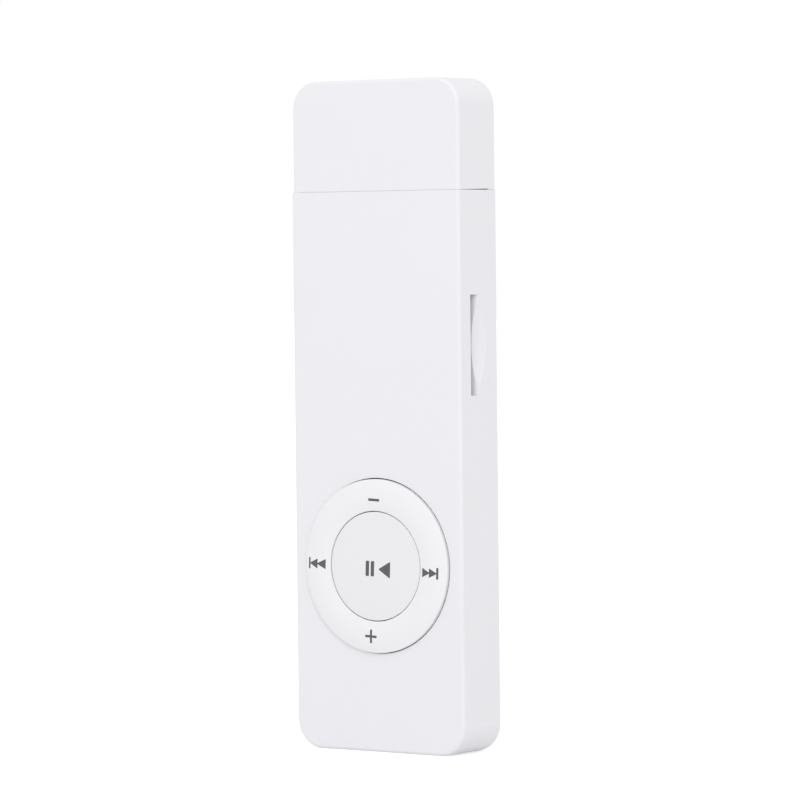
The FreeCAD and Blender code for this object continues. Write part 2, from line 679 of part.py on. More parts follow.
def battery_lead(x):
    """Short wire from the protection board, bent down onto the circuit board."""
    bend = LEAD_Y - BOARD_BACK
    start = vec(x, LEAD_Y, GUARD_TOP_Z)
    knee = vec(x, LEAD_Y, GUARD_TOP_Z + LEAD_STRAIGHT)
    centre = vec(x, BOARD_BACK, knee.z)
    middle = centre + vec(0, bend * math.sqrt(0.5), bend * math.sqrt(0.5))
    end = centre + vec(0, 0, bend)
    path = Part.Wire([Part.makeLine(start, knee), Part.Arc(knee, middle, end).toShape()])
    ring = Part.Wire(Part.makeCircle(LEAD_R, start, vec(0, 0, 1)))
    return path.makePipeShell([ring], True, True)


def save(name, shape):
    """Write one node, after checking its solids."""
    for solid in shape.Solids:
        if not solid.isValid() or solid.Volume <= 0:
            raise ValueError(name + " has a bad solid")
    shape.exportStep(os.path.join("parts", name + ".step"))
    size = shape.optimalBoundingBox()
    print("%-26s %d solids  %9.2f mm3  x %.2f..%.2f  y %.2f..%.2f  z %.2f..%.2f" % (
        name, len(shape.Solids), shape.Volume, size.XMin, size.XMax, size.YMin, size.YMax,
        size.ZMin, size.ZMax))


def main():
    os.makedirs("parts", exist_ok=True)
    save("front_case", front_case())
    save("back_cover", back_cover())
    save("cap", cap())
    save("plug_collar", plug_collar())
    save("plug_shell", plug_shell())
    save("plug_tongue", plug_tongue())
    save("plug_contacts", Part.makeCompound(contact_strips()))
    save("control_ring", control_ring())
    save("play_button", play_button())
    save("pad_gimbal_plate", pad_gimbal_plate())
    save("pad_pivot_seat", pad_pivot_seat())
    places = switch_places()
    save("switch_bodies", Part.makeCompound([switch_body(x, z) for x, z in places.values()]))
    for name, (x, z) in places.items():
        save(name + "_switch_stem", round_y(STEM_R, x, z, STEM_TOP, STEM_BOTTOM))
    save("circuit_board", circuit_board())
    save("board_screws", board_screws())
    for name, (x, z, size_x, size_z, height) in PACKAGES.items():
        save(name, chip(x, z, size_x, size_z, height))
    save("chip_capacitors", chip_capacitors())
    save("chip_resistors", chip_resistors())
    save("card_socket_base", card_socket_base())
    save("card_socket_shell", card_socket_shell())
    save("card_socket_contacts", Part.makeCompound(socket_contact_strips()))
    save("headphone_jack_body", headphone_jack_body())
    save("headphone_jack_contacts", headphone_jack_contacts())
    save("battery_cell", battery_cell())
    save("battery_guard_board", battery_guard_board())
    save("battery_tape", battery_tape())
    save("battery_lead_positive", battery_lead(LEAD_X))
    save("battery_lead_negative", battery_lead(-LEAD_X))


main()
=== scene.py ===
import math

import bmesh
import bpy
from bpy.props import FloatProperty, FloatVectorProperty, IntProperty, PointerProperty
from bpy.types import Operator, Panel, PropertyGroup
from mathutils import Matrix, Vector


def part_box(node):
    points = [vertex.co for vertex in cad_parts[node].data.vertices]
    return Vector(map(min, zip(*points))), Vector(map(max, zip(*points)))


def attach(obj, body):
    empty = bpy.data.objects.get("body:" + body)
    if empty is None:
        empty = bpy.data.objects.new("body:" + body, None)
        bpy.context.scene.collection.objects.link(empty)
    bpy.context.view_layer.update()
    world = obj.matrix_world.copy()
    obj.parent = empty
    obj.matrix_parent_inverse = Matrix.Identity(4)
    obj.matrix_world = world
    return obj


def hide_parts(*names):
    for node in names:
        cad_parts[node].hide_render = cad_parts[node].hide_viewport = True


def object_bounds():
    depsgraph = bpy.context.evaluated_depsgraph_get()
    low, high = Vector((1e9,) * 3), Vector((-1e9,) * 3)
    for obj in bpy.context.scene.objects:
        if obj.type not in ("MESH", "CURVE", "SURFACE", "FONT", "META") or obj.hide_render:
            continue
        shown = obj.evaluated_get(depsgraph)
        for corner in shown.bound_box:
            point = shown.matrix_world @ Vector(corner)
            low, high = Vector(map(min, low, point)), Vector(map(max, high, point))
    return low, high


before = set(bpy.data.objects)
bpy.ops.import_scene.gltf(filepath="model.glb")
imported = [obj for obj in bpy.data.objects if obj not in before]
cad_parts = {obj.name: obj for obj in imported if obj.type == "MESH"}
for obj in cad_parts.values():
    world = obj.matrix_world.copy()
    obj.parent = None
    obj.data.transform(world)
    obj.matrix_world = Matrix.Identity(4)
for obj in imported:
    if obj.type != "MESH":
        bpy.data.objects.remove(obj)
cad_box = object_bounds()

bl_info = {
    "name": "Strip Audio Player",
    "version": (1, 0, 0),
    "blender": (4, 5, 0),
    "location": "3D View > Sidebar > Player",
    "description": "Builds the shells, control pad, prints and finishes of a strip-shaped audio player",
    "category": "Object",
}

MM = 0.001
CASE_LOW, CASE_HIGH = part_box("front_case")
COVER_LOW, COVER_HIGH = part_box("back_cover")
CAP_LOW, CAP_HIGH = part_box("cap")
COLLAR_LOW, COLLAR_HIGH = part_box("plug_collar")
RING_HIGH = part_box("control_ring")[1]
BUTTON_LOW, BUTTON_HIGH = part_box("play_button")
JACK_LOW, JACK_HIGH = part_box("headphone_jack_body")
SOCKET_LOW, SOCKET_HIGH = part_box("card_socket_base")
PAD_Z = (BUTTON_LOW.z + BUTTON_HIGH.z) / 2
SLOT_Z = (SOCKET_LOW.z + SOCKET_HIGH.z) / 2
JACK_X = (JACK_LOW.x + JACK_HIGH.x) / 2
HALF_W = CASE_HIGH.x
HALF_T = CASE_HIGH.y
FRONT_Y = CASE_LOW.y
SHOULDER_Z = CASE_HIGH.z

# Tolerances, overlaps and steps
DOUBLES = 0.0005 * MM  # points closer than this are one point
ON_PLANE = 0.0001 * MM
NEAR = 0.01 * MM  # tells two levels apart
HAIR = 0.001 * MM  # keeps two faces out of one plane
OVERLAP = 0.2 * MM  # how far joined shapes run into each other
PAST = 1.0 * MM  # how far cutting shapes run past a surface
ALIGNED = 0.999  # cosine above which an edge runs along an axis
CORNER_STEPS = 16
EDGE_STEPS = 6

# Case, cover and collar
BACK_WALL = 1.0 * MM
COVER_GAP = 0.05 * MM
NECK_R = 0.3 * MM
SLOT_FRONT = -1.85 * MM
SLOT_BACK = -0.54 * MM
SCOOP_BEND = 24.0 * MM
JACK_HOLE_R = 2.6 * MM
SCREW_PLACES = ((8.5 * MM, 6.5 * MM), (-8.8 * MM, 64.3 * MM), (8.8 * MM, 64.3 * MM))
SCREW_POST_R = 1.5 * MM
SCREW_HOLE_R = 0.66 * MM
SCREW_HOLE_FRONT = -2.4 * MM
HOOK_HEIGHTS = (15.0 * MM, 38.0 * MM, 60.0 * MM)
HOOK_HALF = 2.0 * MM  # half a hook's length up the case
HOOK_FRONT = 1.45 * MM
HOOK_OUTER = 0.1 * MM  # from the case's inner wall
HOOK_INNER = 0.85 * MM
BARB_OUT = 0.2 * MM  # beyond the case's inner wall
BARB_BACK = 2.05 * MM
POCKET_ROOM = 0.1 * MM  # round a barb
POCKET_DEEP = 0.4 * MM
PLUG_HALF_W = 6.0 * MM
PLUG_HALF_T = 2.25 * MM
PLUG_R = 0.4 * MM
PLUG_GAP = 0.03 * MM
RIB_X = 4.0 * MM
RIB_START = 2.3 * MM  # above the cap's mouth

# Underside of the pad: radii from its axis, and places along Y, where the front is -Y
RING_UNDER, RING_SKIRT, RING_LIP = -3.2 * MM, -2.0 * MM, -3.0 * MM
FOOT_INNER_R, FOOT_OUTER_R = 7.75 * MM, 9.9 * MM
BUTTON_UNDER, BUTTON_SKIRT = -3.4 * MM, -2.3 * MM
BUTTON_FOOT_R = 6.0 * MM
POST_END = -1.29 * MM
POST_REACH = 9.0 * MM  # from the pad's axis to a post of the ring
RING_POST_R = 0.6 * MM
BUTTON_POST_R = 1.0 * MM
RING_TAB = (2.0 * MM, 0.4 * MM, 10.2 * MM, 11.6 * MM)  # half width, thickness, from, to
BUTTON_TAB = (1.2 * MM, 0.32 * MM, 6.2 * MM, 7.6 * MM)
ARM_GAP = 0.15 * MM  # between the ring's bore and its pivot arms
ARM_END = 7.65 * MM
ARM_HALF = 0.8 * MM
ARM_FRONT, ARM_BACK = -3.3 * MM, -2.35 * MM
PIVOT_FRONT = -2.45 * MM
PIVOT_Y = -2.02 * MM
PIVOT_R = 0.25 * MM

# Printed symbols, in millimetres across the pad: strokes are width and height
SYMBOL_SHIFT = (-0.3, -0.26)
SYMBOL_REACH = 8.55
MINUS = (1.68, 0.32)
PLUS_LEVEL, PLUS_UPRIGHT = (1.74, 0.3), (0.3, 1.7)
SKIP_BAR = (0.28, 1.42)
SKIP_TIP, SKIP_BASE, SKIP_END = 0.1, 0.05, 0.02  # first tip, second base, bar past the tip
BACK_AT, BACK_ARROW = -8.57, (1.26, 1.26)
FORWARD_AT, FORWARD_ARROW = 8.70, (1.15, 1.2)
PAUSE_BARS = ((-0.88, 0.52, 1.9), (-0.10, 0.5, 1.9))  # place, width, height
PAUSE_ROUND = 0.1
PLAY_TIP, PLAY_BASE, PLAY_HEIGHT, PLAY_ROUND = 0.8, 2.6, 2.12, 0.17
PLAY_LEVEL = -0.08
PRINT_PITCH = 0.25 * MM
PRINT_SUNK = 0.006 * MM

# Studio, in metres
FLOOR_SIZE = 3.0
LIGHT_AIM = (0, 0, 0.042)
TOP_PANEL = ((0.02, -0.12, 0.60), (0.5, 0.4))  # place and size
FRONT_PANEL = ((0.36, -0.55, 0.50), (0.5, 0.5))


def length(label, note, value):
    """Size property in metres."""
    return FloatProperty(name=label, description=note, default=value * MM, min=0.0,
                         subtype="DISTANCE", unit="LENGTH", precision=5)


def amount(label, note, value, most=100.0):
    """Plain number that isn't negative."""
    return FloatProperty(name=label, description=note, default=value, min=0.0, max=most)


def power(label, note, value):
    """Power of a light in watts."""
    return FloatProperty(name=label, description=note, default=value, min=0.0, subtype="POWER",
                         unit="POWER")


def tint(label, note, value):
    """Colour property."""
    return FloatVectorProperty(name=label, description=note, default=value, size=3,
                               min=0.0, max=1.0, subtype="COLOR")


def turn(label, note, degrees):
    """Angle property."""
    return FloatProperty(name=label, description=note, default=math.radians(degrees),
                         subtype="ANGLE", unit="ROTATION")


class CaseSizes(PropertyGroup):
    corner_radius: length("Corner radius", "Radius of the outline's corners", 3.6)
    edge_radius: length("Edge radius", "Rounding of the long edges", 0.45)
    crisp_radius: length("Crisp edge radius", "Rounding of moulded edges that look sharp", 0.07)
    side_wall: length("Side wall", "Thickness of the sides and the bottom", 1.2)
    front_wall: length("Front wall", "Thickness of the front", 1.1)
    lip: length("Lip", "Case lip round the back cover and the collar", 0.7)
    pad_hole: length("Pad hole radius", "Hole for the control ring", 11.0)
    slot_length: length("Slot length", "Card slot, along the side", 12.5)
    flare_width: length("Slot flare", "How far the slot's rear wall leans back at the side", 0.55)
    flare_depth: length("Flare depth", "Depth over which the slot's rear wall leans", 1.15)
    scoop_length: length("Scoop length", "Finger scoop, along the side", 9.7)
    scoop_depth: length("Scoop depth", "Finger scoop at the slot", 0.84)
    scoop_reach: length("Scoop reach", "Finger scoop from the slot to the back", 2.0)
    cover_round: length("Cover edge", "Rounding of the back cover's edges", 0.1)
    collar_round: length("Collar edge", "Rounding of the plug collar's edges", 0.12)


class CapSizes(PropertyGroup):
    wall: length("Wall", "Thickness of the cap's wall", 0.9)
    lip: length("Mouth lip", "Thickness of the lip round the neck", 0.56)
    front_gap: length("Front gap", "Seam under the cap at the front", 0.012)
    back_gap: length("Back gap", "Seam under the cap towards the back", 0.18)
    gap_end: length("Gap's end", "Depth behind which the cap sits tight on the case", 2.4)
    gap_fade: length("Gap's fade", "Depth over which the seam closes", 0.05)
    play: length("Play", "How far the cap sits towards the slot side", 0.06)
    mouth_round: length("Mouth edge", "Rounding of the cap's edges", 0.03)
    step: length("Mouth depth", "Depth of the widened mouth", 1.1)
    rib_width: length("Rib width", "Width of the ribs that grip the plug", 1.0)


class PadSizes(PropertyGroup):
    ring_inner: length("Ring inner radius", "Inside of the control ring", 6.912)
    ring_outer_rise: length("Ring outer rim", "Outer rim above the case's front", 0.42)
    ring_inner_rise: length("Ring inner rim", "Inner rim above the case's front", 0.57)
    ring_crown_rise: length("Ring crown", "Middle of the ring above the case's front", 0.78)
    ring_round: length("Ring edge", "Rounding of the ring's rims", 0.09)
    ring_left: length("Ring drift", "How far the ring rests left of the middle of its hole", 0.03)
    ring_sag: length("Ring sag", "How far the ring rests below the middle of its hole", 0.02)
    button_rim_rise: length("Button rim", "Button's rim above the case's front", 0.50)
    button_crown_rise: length("Button crown", "Button's middle above the case's front", 0.62)
    button_round: length("Button edge", "Rounding of the button's rim", 0.07)
    button_left: length("Button drift", "How far the button rests to the left", 0.03)
    button_sag: length("Button sag", "How far the button rests below the middle of the ring", 0.02)
    print_turn: turn("Print turn", "How far the printed symbols are turned", -2.2)
    print_thickness: length("Print thickness", "Height of the ink above the plastic", 0.012)
    steps: IntProperty(name="Turned steps", description="Faces round the pad's turned parts",
                       default=192, min=24, max=512)


class InsideSizes(PropertyGroup):
    plug_round: length("Plug edges", "Rounding of the plug's shell and tongue", 0.06)
    jack_round: length("Jack edges", "Rounding of the headphone jack's body", 0.10)
    small_round: length("Small edges", "Rounding of the electronics' edges", 0.025)


class Finishes(PropertyGroup):
    case: tint("Case plastic", "Colour of the case", (0.765, 0.765, 0.793))
    cover: tint("Cover plastic", "Colour of the back cover", (0.765, 0.765, 0.793))
    cap: tint("Cap plastic", "Colour of the cap", (0.765, 0.765, 0.793))
    pad: tint("Ring plastic", "Colour of the control ring", (0.785, 0.785, 0.803))
    button: tint("Button plastic", "Colour of the centre button", (0.752, 0.752, 0.768))
    ink: tint("Ink", "Colour of the printed symbols", (0.10, 0.10, 0.11))


class Studio(PropertyGroup):
    azimuth: turn("Azimuth", "Camera angle round the player from the front", 35.62)
    elevation: turn("Elevation", "Camera angle above the horizon", 1.876)
    roll: turn("Roll", "Camera turn about its own axis", -0.612)
    distance: length("Distance", "Camera to the middle of the player", 563.4)
    lens: FloatProperty(name="Lens", description="Focal length", default=202.0, min=10.0,
                        subtype="DISTANCE_CAMERA", unit="CAMERA")
    aim_right: length("Aim right", "Aim point to the right of the middle", 0.55)
    aim_up: length("Aim up", "Aim point above the middle", 1.94)
    room_light: amount("Room light", "Light from all round", 0.92)
    top_light: power("Top light", "Power of the overhead panel", 0.15)
    front_light: power("Front light", "Power of the panel by the camera", 1.72)
    floor_white: amount("Floor white", "Reflectance of the floor", 0.69, most=1.0)
    floor_light: amount("Floor light", "Light the floor gives by itself", 0.22)
    floor_glow: amount("Floor glow", "Extra light that only the camera sees", 0.28)


# Shapes

def new_piece(name, shape):
    """Object at the origin that holds a finished bmesh."""
    mesh = bpy.data.meshes.new(name)
    shape.to_mesh(mesh)
    shape.free()
    piece = bpy.data.objects.new(name, mesh)
    bpy.context.scene.collection.objects.link(piece)
    return piece


def block(low, high):
    """Box between two corners."""
    shape = bmesh.new()
    bmesh.ops.create_cube(shape, size=1.0)
    low, high = Vector(low), Vector(high)
    bmesh.ops.scale(shape, vec=high - low, verts=shape.verts)
    bmesh.ops.translate(shape, vec=(low + high) / 2, verts=shape.verts)
    return shape


def side_block(side, inner, outer, near_y, far_y, low_z, high_z):
    """Box between two distances from the middle, to the right (1) or the left (-1)."""
    left, right = sorted((side * inner, side * outer))
    return block((left, near_y, low_z), (right, far_y, high_z))


def slice_through(shape, place, normal):
    """Add edges where a plane passes through a bmesh."""
    bmesh.ops.bisect_plane(shape, geom=list(shape.verts) + list(shape.edges) + list(shape.faces),
                           dist=ON_PLANE, plane_co=place, plane_no=normal)


def round_off(shape, parts, radius, segments, affect="EDGES", clamp=False):
    """Round some edges or corners of a bmesh."""
    bmesh.ops.bevel(shape, geom=parts, offset=radius, offset_type="OFFSET", segments=segments,
                    profile=0.5, affect=affect, clamp_overlap=clamp, material=-1)


def thicken(shape, along):
    """Grow flat faces into a solid."""
    grown = bmesh.ops.extrude_face_region(shape, geom=list(shape.faces))
    tops = [item for item in grown["geom"] if isinstance(item, bmesh.types.BMVert)]
    bmesh.ops.translate(shape, vec=along, verts=tops)
    bmesh.ops.recalc_face_normals(shape, faces=shape.faces)


def edges_along(shape, axis, test):
    """Edges that run along one axis and whose middle passes a test."""
    found = []
    for edge in shape.edges:
        run = edge.verts[1].co - edge.verts[0].co
        if abs(run[axis]) > ALIGNED * run.length:
            if test((edge.verts[0].co + edge.verts[1].co) / 2):
                found.append(edge)
    return found


def slab(half_w, low_z, high_z, near_y, far_y, low_r=0.0, high_r=0.0, edge_r=0.0):
    """Plate standing in the XZ plane, with rounded lower or upper corners and rounded outlines."""
    shape = block((-half_w, near_y, low_z), (half_w, far_y, high_z))
    for radius, level in ((low_r, low_z), (high_r, high_z)):
        if radius > 0:
            corners = edges_along(shape, 1, lambda point: abs(point.z - level) < NEAR)
            round_off(shape, corners, radius, CORNER_STEPS)
    if edge_r > 0:
        open_z = high_z if low_r > 0 else low_z
        outline = []
        for edge in shape.edges:
            a, b = edge.verts[0].co, edge.verts[1].co
            in_face = abs(a.y - b.y) < NEAR
            on_end = abs(a.z - open_z) < NEAR and abs(b.z - open_z) < NEAR
            if in_face and not on_end:
                outline.append(edge)
        round_off(shape, outline, edge_r, EDGE_STEPS)
    return shape


def pillar(half_x, half_y, low_z, high_z, radius):
    """Upright block with rounded upright edges."""
    shape = block((-half_x, -half_y, low_z), (half_x, half_y, high_z))
    round_off(shape, edges_along(shape, 2, lambda point: True), radius, EDGE_STEPS)
    return shape


def drum(radius, start, end, steps=48):
    """Cylinder between two points."""
    start, end = Vector(start), Vector(end)
    run = end - start
    shape = bmesh.new()
    bmesh.ops.create_cone(shape, cap_ends=True, segments=steps, radius1=radius, radius2=radius,
                          depth=run.length)
    place = Matrix.Translation((start + end) / 2) @ run.to_track_quat("Z", "Y").to_matrix().to_4x4()
    bmesh.ops.transform(shape, matrix=place, verts=shape.verts)
    return shape


def discard(tool):
    """Remove a helper object with its mesh."""
    used = tool.data
    bpy.data.objects.remove(tool)
    bpy.data.meshes.remove(used)


def combine(piece, shape, operation):
    """Cut a bmesh out of a piece, join it on, or keep only what both share."""
    tool = new_piece("tool", shape)
    change = piece.modifiers.new("change", "BOOLEAN")
    change.operation = operation
    change.solver = "EXACT"
    change.object = tool
    bpy.context.view_layer.update()
    evaluated = piece.evaluated_get(bpy.context.evaluated_depsgraph_get())
    mesh = bpy.data.meshes.new_from_object(evaluated)
    old = piece.data
    piece.modifiers.clear()
    piece.data = mesh
    mesh.name = piece.name
    bpy.data.meshes.remove(old)
    discard(tool)


def cut(piece, shape):
    combine(piece, shape, "DIFFERENCE")


def join(piece, shape):
    combine(piece, shape, "UNION")


def tidy_mesh(piece):
    """Merge doubled points, drop loose bits and turn the faces outwards."""
    shape = bmesh.new()
    shape.from_mesh(piece.data)
    bmesh.ops.remove_doubles(shape, verts=shape.verts, dist=DOUBLES)
    bmesh.ops.dissolve_degenerate(shape, edges=shape.edges, dist=DOUBLES)
    bmesh.ops.recalc_face_normals(shape, faces=shape.faces)
    shape.to_mesh(piece.data)
    shape.free()


def round_over(piece, width, segments, limit):
    """Live rounded edges with even shading."""
    if width > 0:
        rounding = piece.modifiers.new("edge_rounding", "BEVEL")
        rounding.width = width
        rounding.segments = segments
        rounding.limit_method = "ANGLE"
        rounding.angle_limit = math.radians(limit)
    even = piece.modifiers.new("even_normals", "WEIGHTED_NORMAL")
    even.keep_sharp = True


def soften(piece, width, segments=2, limit=28.0, sharp=14.0):
    """Smooth shading with small rounded edges where faces meet at an angle."""
    tidy_mesh(piece)
    piece.data.shade_smooth()
    piece.data.set_sharp_from_angle(angle=math.radians(sharp))
    round_over(piece, width, segments, limit)


def nudge(piece, left, down):
    """Let a loose piece rest a little off the middle of its hole."""
    piece.data.transform(Matrix.Translation((-left, 0, -down)))


def ease(node, width, limit=35.0):
    """Rounded edges and even shading for a piece that keeps its CAD shape."""
    weld = node.modifiers.new("joined_points", "WELD")
    weld.merge_threshold = DOUBLES
    round_over(node, width, 2, limit)


def settle(piece, body, slot, material, *nodes):
    """Give a finished piece its body, the CAD nodes it stands for and its material; the slot is not used.
    """
    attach(piece, body)
    if nodes:
        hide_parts(*nodes)
    piece.data.materials.clear()
    piece.data.materials.append(material)


# Finishes

def put(tree, kind, **values):
    """Add a node; values whose names are inputs are set on those inputs."""
    node = tree.nodes.new(kind)
    for key, value in values.items():
        label = key.replace("_", " ")
        if label in node.inputs:
            node.inputs[label].default_value = value
        else:
            setattr(node, key, value)
    return node


def wire(tree, source, target):
    tree.links.new(source, target)


def noise(tree, **values):
    """Noise laid out in the piece's own coordinates."""
    node = put(tree, "ShaderNodeTexNoise", **values)
    place = put(tree, "ShaderNodeTexCoord")
    wire(tree, place.outputs["Object"], node.inputs["Vector"])
    return node


def spread(tree, source, low, high, from_low=0.3, from_high=0.7):
    """Map a value to a range."""
    node = put(tree, "ShaderNodeMapRange", From_Min=from_low, From_Max=from_high,
               To_Min=low, To_Max=high)
    wire(tree, source, node.inputs["Value"])
    return node.outputs["Result"]


def product(tree, first, second, clamp=False):
    """One value times another."""
    node = put(tree, "ShaderNodeMath", operation="MULTIPLY", use_clamp=clamp)
    wire(tree, first, node.inputs[0])
    wire(tree, second, node.inputs[1])
    return node.outputs["Value"]


def start_group(name, inputs, outputs):
    """Node group with float sockets, its input node and its output node."""
    group = bpy.data.node_groups.new(name, "ShaderNodeTree")
    for label, value in inputs:
        socket = group.interface.new_socket(label, in_out="INPUT", socket_type="NodeSocketFloat")
        socket.default_value = value
    for label in outputs:
        group.interface.new_socket(label, in_out="OUTPUT", socket_type="NodeSocketFloat")
    return group, group.nodes.new("NodeGroupInput"), group.nodes.new("NodeGroupOutput")


def shared(build):
    """Build a node group once and hand the same one out after that."""
    def once():
        return bpy.data.node_groups.get(build.__name__) or build(build.__name__)
    return once


@shared
def moulded_grain(name):
    """Fine spark-eroded grain with slow clouding under it."""
    group, given, result = start_group(name, [("Grain", 14000.0), ("Cloud", 90.0)],
                                       ["Height", "Tone"])
    grain = noise(group, Detail=3.0, Roughness=0.6)
    cloud = noise(group, Detail=4.0, Roughness=0.55)
    wire(group, given.outputs["Grain"], grain.inputs["Scale"])
    wire(group, given.outputs["Cloud"], cloud.inputs["Scale"])
    wire(group, grain.outputs["Fac"], result.inputs["Height"])
    wire(group, cloud.outputs["Fac"], result.inputs["Tone"])
    return group


@shared
def edge_wear(name):
    """Mask along edges that hands and pockets polish, broken up by noise."""
    group, given, result = start_group(name, [("Width", 0.0002), ("Amount", 1.0)], ["Mask"])
    rounded = put(group, "ShaderNodeBevel", samples=4)
    wire(group, given.outputs["Width"], rounded.inputs["Radius"])
    shape = put(group, "ShaderNodeNewGeometry")
    facing = put(group, "ShaderNodeVectorMath", operation="DOT_PRODUCT")
    wire(group, rounded.outputs["Normal"], facing.inputs[0])
    wire(group, shape.outputs["Normal"], facing.inputs[1])
    bent = spread(group, facing.outputs["Value"], 0.0, 1.0, 0.995, 0.80)
    patches = noise(group, Scale=700.0, Detail=4.0)
    broken = spread(group, patches.outputs["Fac"], 0.0, 1.0, 0.35, 0.65)
    worn = product(group, product(group, bent, broken), given.outputs["Amount"], clamp=True)
    wire(group, worn, result.inputs["Mask"])
    return group


@shared
def fine_dust(name):
    """Mask of small specks, thicker on faces that look up."""
    group, given, result = start_group(name, [("Scale", 1500.0), ("Amount", 0.2)], ["Mask"])
    place = put(group, "ShaderNodeTexCoord")
    specks = put(group, "ShaderNodeTexVoronoi", feature="F1")
    wire(group, place.outputs["Object"], specks.inputs["Vector"])
    wire(group, given.outputs["Scale"], specks.inputs["Scale"])
    small = spread(group, specks.outputs["Distance"], 0.0, 1.0, 0.16, 0.08)
    where = noise(group, Scale=160.0, Detail=3.0)
    some = spread(group, where.outputs["Fac"], 0.0, 1.0, 0.52, 0.72)
    shape = put(group, "ShaderNodeNewGeometry")
    parts = put(group, "ShaderNodeSeparateXYZ")
    wire(group, shape.outputs["Normal"], parts.inputs["Vector"])
    upward = spread(group, parts.outputs["Z"], 0.25, 1.0, -0.4, 1.0)
    faced = product(group, product(group, small, some), upward)
    wire(group, product(group, faced, given.outputs["Amount"], clamp=True), result.inputs["Mask"])
    return group


@shared
def brushing(name):
    """Fine lines along Z, as rolled or brushed metal has."""
    group, given, result = start_group(name, [("Across", 9000.0), ("Along", 260.0)],
                                       ["Height", "Tone"])
    place = put(group, "ShaderNodeTexCoord")
    stretch = put(group, "ShaderNodeCombineXYZ")
    for axis, source in (("X", "Across"), ("Y", "Across"), ("Z", "Along")):
        wire(group, given.outputs[source], stretch.inputs[axis])
    scaled = put(group, "ShaderNodeVectorMath", operation="MULTIPLY")
    wire(group, place.outputs["Object"], scaled.inputs[0])
    wire(group, stretch.outputs["Vector"], scaled.inputs[1])
    lines = put(group, "ShaderNodeTexNoise", Scale=1.0, Detail=4.0, Roughness=0.6)
    wire(group, scaled.outputs["Vector"], lines.inputs["Vector"])
    wire(group, lines.outputs["Fac"], result.inputs["Height"])
    wire(group, lines.outputs["Fac"], result.inputs["Tone"])
    return group


def placed_group(tree, group, **values):
    """Put a shared node group into a material with its own values."""
    node = tree.nodes.new("ShaderNodeGroup")
    node.node_tree = group
    for label, value in values.items():
        node.inputs[label].default_value = value
    return node


def start_material(name):
    """Material with an empty tree, a Principled shader and its output."""
    material = bpy.data.materials.new(name)
    material.use_nodes = True
    tree = material.node_tree
    tree.nodes.clear()
    shader = put(tree, "ShaderNodeBsdfPrincipled")
    output = put(tree, "ShaderNodeOutputMaterial")
    wire(tree, shader.outputs["BSDF"], output.inputs["Surface"])
    return material, tree, shader


def colour_mix(tree, first, second, factor):
    """Mix two colours, or the colour from a node with a plain one, by a mask."""
    node = put(tree, "ShaderNodeMix", data_type="RGBA")
    wire(tree, factor, node.inputs["Factor"])
    for socket, value in ((node.inputs[6], first), (node.inputs[7], second)):
        if isinstance(value, bpy.types.NodeSocket):
            wire(tree, value, socket)
        else:
            socket.default_value = (*value, 1.0)
    return node.outputs[2]


def shaded(colour, factor):
    """The same colour, darker or lighter."""
    return tuple(min(1.0, part * factor) for part in colour)


def raise_surface(tree, shader, height, depth):
    """Bump from a height between 0 and 1, with its real depth in metres."""
    bump = put(tree, "ShaderNodeBump", Strength=1.0, Distance=depth)
    wire(tree, height, bump.inputs["Height"])
    wire(tree, bump.outputs["Normal"], shader.inputs["Normal"])


DUST_COLOUR = (0.55, 0.53, 0.50)
COLLAR_COLOUR = (0.78, 0.78, 0.80)
PLASTIC_SPREAD, METAL_SPREAD = 0.03, 0.07  # of the roughness, up and down
WORN_PLASTIC, WORN_METAL = 1.03, 1.08  # brightness of worn edges
POLISH = -0.12  # change of roughness on worn edges


def plastic(name, colour, roughness, grain=14000.0, depth=0.0006 * MM, wear=0.5, dust=0.12,
            variation=0.985):
    """Moulded plastic: clouded colour, fine grain, polished edges and a little dust."""
    material, tree, shader = start_material(name)
    surface = placed_group(tree, moulded_grain(), Grain=grain)
    worn = placed_group(tree, edge_wear(), Amount=wear)
    dusty = placed_group(tree, fine_dust(), Amount=dust)
    clouded = colour_mix(tree, shaded(colour, variation), colour, surface.outputs["Tone"])
    edged = colour_mix(tree, clouded, shaded(colour, WORN_PLASTIC), worn.outputs["Mask"])
    final = colour_mix(tree, edged, DUST_COLOUR, dusty.outputs["Mask"])
    wire(tree, final, shader.inputs["Base Color"])
    base = spread(tree, surface.outputs["Tone"], roughness - PLASTIC_SPREAD, roughness + PLASTIC_SPREAD)
    polished = put(tree, "ShaderNodeMath", operation="MULTIPLY_ADD")
    wire(tree, worn.outputs["Mask"], polished.inputs[0])
    polished.inputs[1].default_value = POLISH
    wire(tree, base, polished.inputs[2])
    wire(tree, polished.outputs["Value"], shader.inputs["Roughness"])
    raise_surface(tree, shader, surface.outputs["Height"], depth)
    return material


def metal(name, colour, roughness, across=9000.0, along=260.0, depth=0.0008 * MM, tarnish=0.85):
    """Bare or plated metal with brushed lines and slightly tarnished patches."""
    material, tree, shader = start_material(name)
    lines = placed_group(tree, brushing(), Across=across, Along=along)
    patches = placed_group(tree, moulded_grain(), Grain=3000.0, Cloud=350.0)
    worn = placed_group(tree, edge_wear(), Amount=0.6)
    dulled = colour_mix(tree, shaded(colour, tarnish), colour, patches.outputs["Tone"])
    final = colour_mix(tree, dulled, shaded(colour, WORN_METAL), worn.outputs["Mask"])
    wire(tree, final, shader.inputs["Base Color"])
    shader.inputs["Metallic"].default_value = 1.0
    rough = spread(tree, lines.outputs["Tone"], roughness - METAL_SPREAD, roughness + METAL_SPREAD)
    wire(tree, rough, shader.inputs["Roughness"])
    raise_surface(tree, shader, lines.outputs["Height"], depth)
    return material


# Case, cover and collar

